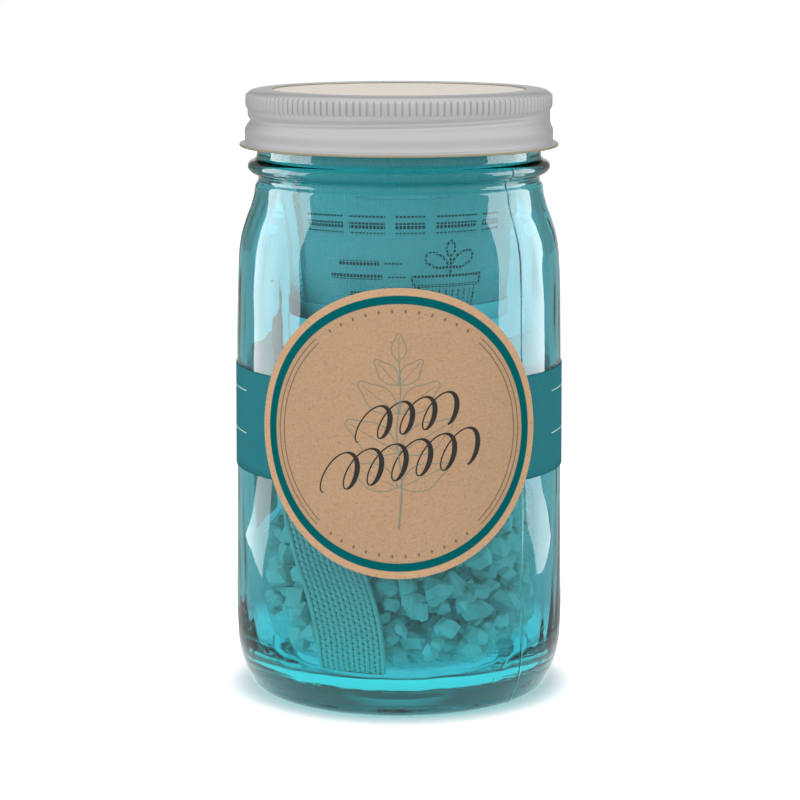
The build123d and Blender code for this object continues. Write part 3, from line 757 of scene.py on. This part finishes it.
for vert in bm.verts:
    way = vert.co.normalized()
    share = 0.5 - 0.5 * math.cos(math.pi * ramp(way.z, -0.96, 0.96))
    z = bag_low.z + film_stand + (bag_body_top - bag_low.z - film_stand) * share
    radius, x, y = bag_plan(z)
    angle = math.atan2(way.y, way.x)
    pull = min(1.0, math.hypot(way.x, way.y) * 2.2)
    slant = z / mm + 9 * math.sin(angle * 2 + 1)
    crease = abs(round_noise(angle, 5, slant / 9))
    fold = abs(round_noise(angle, 14, slant / 4 + 5))
    out = (radius + (film_proud - crease * film_crease - fold * film_fold) * mm) * pull
    place = Vector((x + out * math.cos(angle), y + out * math.sin(angle), z))
    past = place.dot(wick_side) - wick_side_limit - 0.6 * mm + fold * 0.4 * mm
    if past > 0:
        place -= wick_side * past
    vert.co = place
finished("bag_film", bm, film, "jar", "bag_film", "medium_bag")


# Charcoal sachet, seed packet and plant food sachet: flat filled packets of paper or film, crimped
# along both ends, pushed down between the net pot and the glass.
def sachet(name, node, material, slot, size, angle, distance, lift, side):
    """A filled flat packet, size (thickness, width, height) in millimetres, facing an angle."""
    thickness, width, height = size
    crimp, crimp_end = 6.0, 10.0
    sealed_share = 0.12
    bm = grid(36, 60)
    bmesh.ops.solidify(bm, geom=bm.faces[:], thickness=0.001)
    middle = sum(v.co.z for v in bm.verts) / len(bm.verts)
    turn = Matrix.Rotation(angle, 3, "Z")
    for vert in bm.verts:
        across, along = vert.co.x * 2, vert.co.y * 2
        sealed = ramp((1 - abs(along)) * height / 2, crimp, crimp_end)
        belly = (1 - across ** 4) * (sealed_share + (1 - sealed_share) * sealed)
        crease = noise.noise(Vector((across * 2.2, along * 3.4, lift))) * 0.3
        ripple = 0.12 * math.sin(along * height * 2.6) * (1 - sealed)
        thick = thickness / 2 * max(sealed_share, belly * (0.9 + crease)) * (1 if vert.co.z > middle else -1)
        out = distance + thickness / 2 + thick + ripple
        out = min(max(out, distance), distance + thickness)
        place = Vector((out, side + across * width / 2, lift + height / 2 * (1 + along)))
        vert.co = turn @ (place * mm)
    return finished(name, bm, material, "jar", slot, node)


dark_paper, tree, fibres = paper_finish("charcoal_paper", paint(62, 66, 64), paint(40, 42, 40), 0.4)
place = put(tree, "TexCoord")
height = put(tree, "SeparateXYZ", {0: place.outputs["Object"]})
filled = mapped(tree, height.outputs[2], (0.0682, 0.0688))
tree.links.new(blend(tree, filled, paint(176, 180, 174), paint(62, 66, 64)), fibres.inputs["Colour"])
sachet(
    "charcoal_packet", "charcoal_sachet", dark_paper, "charcoal_paper",
    size=(1.8, 27.6, 59), angle=math.radians(188), distance=35.17, lift=62, side=9.42,
)
packet_paper = paper_finish("packet_paper", paint(232, 229, 220), paint(200, 196, 186), 0.3)[0]
sachet(
    "seed_envelope", "seed_packet", packet_paper, "packet_paper",
    size=(1.5, 33.4, 55), angle=math.radians(172), distance=39.42, lift=48.5, side=0,
)
foil, tree, shader = new_finish("sachet_foil", paint(206, 208, 208), Roughness=0.35, Metallic=0.2)
bumped(tree, shader, grain(tree, 220.0, 3.0), 0.5, 0.0008)
sachet(
    "food_packet", "plant_food_sachet", foil, "sachet_foil",
    size=(3.0, 34.4, 37), angle=math.radians(335), distance=37.12, lift=70.5, side=0,
)


# Lid disc: pale card, die cut to a round. It lies on the net pot's rim, and the band holds it down.
# Its edges are a little broken.
lid_low, lid_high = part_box("lid_disc")
card = paper_finish("lid_card", paint(224, 217, 206), paint(196, 180, 160), 0.3)[0]


def plate(radius, low, high, rings, steps):
    """A flat round plate about Z."""
    reach = [radius * ring / rings for ring in range(rings + 1)]
    line = [Vector((out, 0, low)) for out in reach] + [Vector((out, 0, high)) for out in reversed(reach)]
    return turned(line, steps)


bm = plate(lid_high.x, lid_low.z, lid_high.z, 12, 160)
bmesh.ops.recalc_face_normals(bm, faces=bm.faces)
broken_edges(bm, 0.15 * mm)
finished("lid_card_disc", bm, card, "lid", "lid_card", "lid_disc", smooth=False)


# Screw band: rolled tinplate, satin outside and gold lacquered inside. Its top edge is knurled, a
# thread groove is rolled in under the knurl, and the foot is curled to a hem that shows the gold.
band_low, band_high = (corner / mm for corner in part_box("screw_band"))
knurl_count = 140
knurl_steps = 6
knurl_depth = 0.5
knurl_low = band_high.z - 5.3
knurl_high = band_high.z - 1.4
tooth_middle, tooth_reach = 0.35, 1.1
tooth_low, tooth_high = -0.25, 0.9
valley_level = -0.5
wall_radius = 43.85
shell_radius = 42
groove_depth = 1.2
groove_half = 1.35
groove_turns = 0.72
groove_end_angle = math.radians(-2)
groove_end_height = 170.32
band_drops = (
    (36.85, 0.2), (37.05, 0.0), (38.4, 0.0), (41.2, 0.05), (43.0, 0.45), (43.95, 1.3), (44.12, 2.2),
    (44.12, 4.6), (44.0, 5.4), (44.0, 6.6), (44.0, 7.8), (44.0, 9.0), (44.15, 10.0), (44.75, 11.2),
    (44.9, 12.2), (44.9, 14.6), (45.2, 15.2), (46.0, 15.35), (46.45, 15.75), (46.35, 16.3),
    (45.8, 16.58), (45.2, 16.35), (44.75, 15.7), (44.5, 14.6), (44.5, 12.2), (44.35, 11.3),
    (43.75, 10.1), (43.6, 9.0), (43.6, 7.8), (43.6, 6.6), (43.6, 5.4), (43.6, 2.6), (43.3, 1.6),
    (42.6, 0.85), (41.2, 0.45), (38.4, 0.4), (37.05, 0.4), (36.85, 0.2),
)
band_line = smooth_line([(r, band_high.z - drop) for r, drop in band_drops], 3)[:-1]
hem_index = max(i for i, p in enumerate(band_line) if p.x > 45.9 * mm and p.z > (band_low.z + 0.9) * mm)
bm = turned(band_line, knurl_count * knurl_steps, closed=True)
order = bm.verts.layers.float["line"]
gold = bm.verts.layers.float.new("gold")
valley_shade = bm.verts.layers.float.new("valley_shade")
for vert in bm.verts:
    x, y, z = vert.co
    radius, angle, height = math.hypot(x, y) / mm, math.atan2(y, x), z / mm
    vert[gold] = 1.0 if vert[order] > hem_index else 0.0
    if radius > wall_radius:
        fade = ramp(height, knurl_low - 0.4, knurl_low + 0.1)
        fade -= ramp(height, knurl_high - 0.2, knurl_high + 0.4)
        tooth = tooth_middle + tooth_reach * math.cos(angle * knurl_count)
        # Painted shade: the knurl's valleys are marked, so that the band's colour is darker there.
        vert[valley_shade] = fade if tooth < valley_level else 0.0
        radius += knurl_depth * fade * max(tooth_low, min(tooth_high, tooth))
    if radius > shell_radius:
        for turn in (-1, 0):
            share = (angle - groove_end_angle) / math.tau + turn
            if -groove_turns <= share <= 0:
                middle = groove_end_height + share * thread_pitch
                ends = min(1.0, -share * 9 + 0.05, (share + groove_turns) * 2.4)
                radius -= groove_depth * max(0.0, ends) * ridge(height - middle, groove_half)
    vert.co = polar(radius * mm, angle, z)
bm.verts.layers.float.remove(order)

tinplate, tree, shader = new_finish("tinplate", paint(236, 236, 238), Metallic=1.0, Roughness=0.42)
rolled = grain(tree, 1400.0, 3.0, stretch=(0.25, 0.25, 3.0))
lacquer = put(tree, "Attribute", attribute_name="gold").outputs["Fac"]
painted_valley_shade = put(tree, "Attribute", attribute_name="valley_shade").outputs["Fac"]
coated = blend(tree, lacquer, paint(236, 236, 238), paint(212, 202, 176))
# Painted shade: the marked knurl valleys take a darker grey than the tinplate.
tree.links.new(blend(tree, painted_valley_shade, coated, paint(190, 190, 192)), shader.inputs["Base Color"])
tree.links.new(mapped(tree, rolled, levels=(0.36, 0.5)), shader.inputs["Roughness"])
bumped(tree, shader, rolled, 0.08, 0.0002)
finished("band", bm, tinplate, "band", "band_tinplate", "screw_band")


# Sleeve: a strip of teal printed paper, wrapped round the jar and glued where its ends lap behind.
# Two fine pale rules run along each side.
sleeve_low, sleeve_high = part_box("sleeve")
sleeve_radius = 47.93 * mm
sleeve_taper = 0.2 * mm
sleeve_thick = 0.28 * mm
sleeve_puff = 0.03 * mm
sleeve_lap = math.radians(8)
lap_lift = sleeve_thick * 1.1
rule_heights = (78.6 * mm, 91.0 * mm)


def sleeve_at(angle, z):
    """Inner radius of the sleeve, which runs a little uneven where air is caught behind it."""
    share = (z - sleeve_low.z) / (sleeve_high.z - sleeve_low.z)
    return sleeve_radius - sleeve_taper * share + round_noise(angle, 3, share) * sleeve_puff


def on_sleeve(across, up, proud):
    """A place on the sleeve's face, from an arc length round from +X and a height."""
    angle = across / sleeve_radius
    return polar(sleeve_at(angle, up) + sleeve_thick + proud, angle, up)


bm = grid(300, 10)
for vert in bm.verts:
    across, along = vert.co.x + 0.5, vert.co.y + 0.5
    angle = math.radians(90) + (math.tau + sleeve_lap) * across
    z = sleeve_low.z + (sleeve_high.z - sleeve_low.z) * along
    vert.co = polar(sleeve_at(angle, z) + lap_lift * ramp(across, 0.965, 0.977), angle, z)
thickened(bm, -sleeve_thick)
sleeve_paper = paper_finish(
    "sleeve_paper", paint(46, 125, 134), paint(60, 138, 146), 0.25, roughness=0.85, depth=0.00003,
    Specular_IOR_Level=0.05,
)[0]
finished("paper_sleeve", bm, sleeve_paper, "jar", "sleeve_paper", "sleeve")
pale_ink = ink("pale_ink", paint(176, 208, 208), paint(200, 224, 222))
strokes = []
for start, end in ((150, 203.5), (-23.5, 30)):
    for height in rule_heights:
        reach = [math.radians(start + (end - start) * share / 40) * sleeve_radius / mm for share in range(41)]
        strokes.append(([(across, height / mm) for across in reach], (0.17,)))
inked("sleeve_rules", strokes, on_sleeve, pale_ink, "jar", "sleeve_paper")


# Round label: brown kraft card, die cut, glued to the sleeve in front. It is stiffer than the jar is
# round, so its edges stand off. Its teal ring, fine rules, plain sprig and pen loops are printed.
label_low, label_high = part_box("round_label")
label_middle = (label_low.z + label_high.z) / 2
label_half = (label_high.z - label_low.z) / 2
label_bend = 59.0 * mm
label_thick = 0.3 * mm
label_back = -label_low.y - label_thick - 0.04 * mm
ring_inner, ring_outer = 0.891, 0.949
ring_softness = 0.003
back_reach = label_half * 10


def on_label(across, up, proud):
    """A place on the bent card from flat places, across and up from its middle."""
    turn = across / label_bend
    out = label_bend + proud
    return Vector((math.sin(turn) * out, label_bend - label_back - math.cos(turn) * out, label_middle + up))


def on_label_face(across, up, proud):
    """A place on the card's printed face."""
    return on_label(across, up, label_thick + proud)


bm = plate(label_half, 0, label_thick, 40, 240)
flat_layer = bm.loops.layers.uv.new("flat")
for face in bm.faces:
    # The back's places are spread out, so the printed ring stays off it.
    reach = label_half if face.calc_center_median().z > label_thick * 0.6 else back_reach
    for loop in face.loops:
        loop[flat_layer].uv = (loop.vert.co.x / reach, loop.vert.co.y / reach)
for vert in bm.verts:
    vert.co = on_label(*vert.co)
kraft, tree, fibres = paper_finish(
    "kraft_card", paint(190, 156, 124), paint(150, 116, 86), 0.5, roughness=0.85, Specular_IOR_Level=0.0
)
flat_map = put(tree, "UVMap", uv_map="flat")
reach = put(tree, "VectorMath", {0: flat_map.outputs[0]}, operation="LENGTH").outputs["Value"]
before = mapped(tree, reach, (ring_inner - ring_softness, ring_inner + ring_softness))
after = mapped(tree, reach, (ring_outer + ring_softness, ring_outer - ring_softness))
ring = combined(tree, "MULTIPLY", before, after)
tree.links.new(blend(tree, before, paint(190, 156, 124), paint(206, 168, 132)), fibres.inputs["Colour"])
printed = blend(tree, ring, fibres.outputs["Colour"], paint(2, 96, 100))
tree.links.new(printed, tree.nodes["Principled BSDF"].inputs["Base Color"])
finished("label_card", bm, kraft, "jar", "label_card", "round_label", smooth=False)


def arc(radius, start, end, steps=60):
    """Flat places along an arc round the label's middle, in degrees."""
    turns = [math.radians(start + (end - start) * step / steps) for step in range(steps + 1)]
    return [(radius * math.cos(turn), radius * math.sin(turn)) for turn in turns]


def leaf(foot, way, length, width):
    """The outline and rib of a plain pointed leaf, as two strokes."""
    tip = Vector((math.cos(way), math.sin(way))) * length
    side = Vector((-math.sin(way), math.cos(way))) * width / 2
    foot = Vector(foot)
    half = ((0, 0), (0.25, 0.8), (0.5, 1), (0.78, 0.55), (1, 0))
    shares = half + tuple((along, -out) for along, out in reversed(half[:-1]))
    edge = [tuple(foot + tip * along + side * out) for along, out in shares]
    rib = [tuple(foot + tip * along) for along in (0.05, 0.5, 0.9)]
    return [pen(edge, 0.13, steps=8), pen(rib, 0.1, steps=8)]


def pen_loops(left, right, base, size, loops):
    """A row of plain pen loops that leans and rises to the right, thick on each way down."""
    line, widths = [], []
    for step in range(loops * 30 + 1):
        turn = math.tau * step / 30
        up = -size * math.cos(turn)
        across = left + (right - left) * step / (loops * 30) - size * 0.62 * math.sin(turn) + up * 0.3
        line.append((across, base + up + across * 0.2))
        widths.append(0.2 + 0.55 * max(0.0, -math.sin(turn)))
    return line, widths


brown_ink = ink("brown_ink", paint(112, 98, 84), paint(134, 116, 98))
strokes = [(arc(radius, start, start + 96), (0.16,)) for radius in (34, 35.4) for start in (-48, 132)]
for start in (56, 236):
    for dot in range(12):
        middle = start + 68 / 11 * dot
        strokes.append((arc(34.7, middle - 0.55, middle + 0.55, 4), (0.2, 0.62, 0.2)))
inked("label_rules", strokes, on_label_face, brown_ink, "jar", "label_card")
leaf_ink = ink("leaf_ink", paint(120, 130, 118), paint(140, 146, 130))
stem = [(0, -27), (0.8, -14), (-0.6, 0), (0.5, 13), (0, 21)]
strokes = [pen(stem, 0.28, 0.14)]
for height, length, width, lean in ((-15, 15, 7.5, 24), (-5, 17, 8.5, 30), (6, 14, 7, 38), (14, 9.5, 5, 48)):
    strokes += leaf((0.2, height), math.radians(lean), length, width)
    strokes += leaf((-0.2, height), math.radians(180 - lean), length, width)
strokes += leaf((0, 20.5), math.radians(90), 8, 4.2)
inked("label_sprig", strokes, on_label_face, leaf_ink, "jar", "label_card")
dark_ink = ink("dark_ink", paint(34, 32, 30), paint(52, 48, 44))
strokes = [pen_loops(-10, 15, 4.6, 4.6, 4), pen_loops(-20, 21, -7.6, 5.2, 6)]
inked("label_flourish", strokes, on_label_face, dark_ink, "jar", "label_card")


# Studio: a white table and backdrop, soft boxes in front and above that light the object, and two tall
# and two low ones at its sides that only show as reflections in the glass.
world_light = 0.54
scene = bpy.context.scene
bm = bmesh.new()
bmesh.ops.create_circle(bm, cap_ends=True, segments=96, radius=3.0)
floor_mesh = bpy.data.meshes.new("floor")
bm.to_mesh(floor_mesh)
bm.free()
floor = bpy.data.objects.new("floor", floor_mesh)
scene.collection.objects.link(floor)
floor.location.z = -0.0001


def seen_share(tree, path):
    """1 for rays by which glass and metal show the surroundings, else 0."""
    return combined(tree, "MAXIMUM", path.outputs["Is Transmission Ray"], path.outputs["Is Glossy Ray"])


white, tree, shader = new_finish(
    "white_table", (0.8, 0.8, 0.8, 1), Roughness=0.6, Specular_IOR_Level=0.2, Emission_Color=(1, 1, 1, 1)
)
path = put(tree, "LightPath")
place = put(tree, "TexCoord").outputs["Object"]
reach = put(tree, "VectorMath", {0: place}, operation="LENGTH").outputs["Value"]
fading = mapped(tree, reach, (0.044, 0.06), (0.17, 1.0), interpolation_type="SMOOTHSTEP")
for_camera = combined(tree, "MULTIPLY", path.outputs["Is Camera Ray"], fading)
seen = seen_share(tree, path)
# Painted light and shade for glass and metal: in their reflections the table glows under and near the jar and
# behind it, and is painted dark grey elsewhere.
toward = put(tree, "VectorMath", {0: place}, operation="NORMALIZE")
toward = put(tree, "SeparateXYZ", {0: toward.outputs[0]})
behind = mapped(tree, toward.outputs[1], (0.94, 0.99), (0.2, 0.45))
near = mapped(tree, reach, (0.06, 0.11), (0.7, 0.0))
painted_glow = combined(tree, "MULTIPLY", seen, combined(tree, "MAXIMUM", behind, near))
dimmed = combined(tree, "SUBTRACT", seen, painted_glow)
tone = blend(tree, dimmed, (0.8, 0.8, 0.8, 1), (0.22, 0.22, 0.22, 1))
tree.links.new(tone, shader.inputs["Base Color"])
tree.links.new(combined(tree, "ADD", for_camera, painted_glow), shader.inputs["Emission Strength"])
floor_mesh.materials.append(white)

world = bpy.data.worlds.new("studio")
scene.world = world
world.use_nodes = True
tree = world.node_tree
path = put(tree, "LightPath")
place = put(tree, "TexCoord")
way = put(tree, "SeparateXYZ", {0: place.outputs["Generated"]})
behind = mapped(tree, way.outputs[1], (0.95, 0.99), (0.3, 1.0))
front = mapped(tree, way.outputs[1], (0.4, 0.82), (0.7, 0.3))
around = combined(tree, "MAXIMUM", behind, front)
lit = mapped(tree, seen_share(tree, path), levels=(world_light, around))
background = tree.nodes["Background"]
background.inputs["Color"].default_value = (1, 1, 1, 1)
level = combined(tree, "MAXIMUM", lit, path.outputs["Is Camera Ray"])
tree.links.new(level, background.inputs["Strength"])


shining = bpy.data.collections.new("shining")
shining.objects.link(jar_glass)


def soft_box(name, place, aim, size, power, only_seen=False):
    """A soft box that faces a place: it lights the object, or only shows as a reflection in its glass."""
    lamp = bpy.data.lights.new(name, "AREA")
    lamp.shape = "RECTANGLE"
    lamp.size, lamp.size_y = size
    lamp.energy = power
    holder = bpy.data.objects.new(name, lamp)
    scene.collection.objects.link(holder)
    holder.location = place
    holder.rotation_euler = (Vector(aim) - Vector(place)).to_track_quat("-Z", "Y").to_euler()
    holder.visible_glossy = only_seen
    holder.visible_diffuse = not only_seen
    holder.visible_transmission = False
    if only_seen:
        holder.light_linking.receiver_collection = shining


middle = (0, 0, 0.09)
soft_box("left_box", (-0.55, -0.5, 0.35), middle, size=(0.3, 0.6), power=2.1)
soft_box("right_box", (0.6, -0.45, 0.3), middle, size=(0.3, 0.6), power=1.5)
soft_box("top_box", (0.0, -0.1, 0.75), middle, size=(0.7, 0.5), power=1.5)
for side in (-1, 1):
    tall_place, low_place = (side * 0.6, 0.07, 0.25), (side * 0.39, 0.085, 0.003)
    above_low = (side * 0.39, 0.085, 1)
    soft_box("shine_box", tall_place, (0, 0, 0.25), size=(0.54, 0.5), power=4.6, only_seen=True)
    soft_box("low_box", low_place, above_low, size=(0.42, 0.11), power=0.45, only_seen=True)

picture_width = 800
focal_pixels = 2743
look_down = 9.67
camera_data = bpy.data.cameras.new("camera")
camera = bpy.data.objects.new("camera", camera_data)
scene.collection.objects.link(camera)
camera.location = (0.0003, -0.8, 0.2213)
camera.rotation_euler = (math.radians(90 - look_down), 0, 0)
camera_data.sensor_width = 36
camera_data.lens = focal_pixels / picture_width * 36
camera_data.clip_start = 0.05
scene.camera = camera

scene.view_settings.view_transform = "Standard"
cycles = scene.cycles
cycles.use_denoising = True
cycles.max_bounces = 24
cycles.transmission_bounces = 20
cycles.transparent_max_bounces = 24
cycles.glossy_bounces = 8
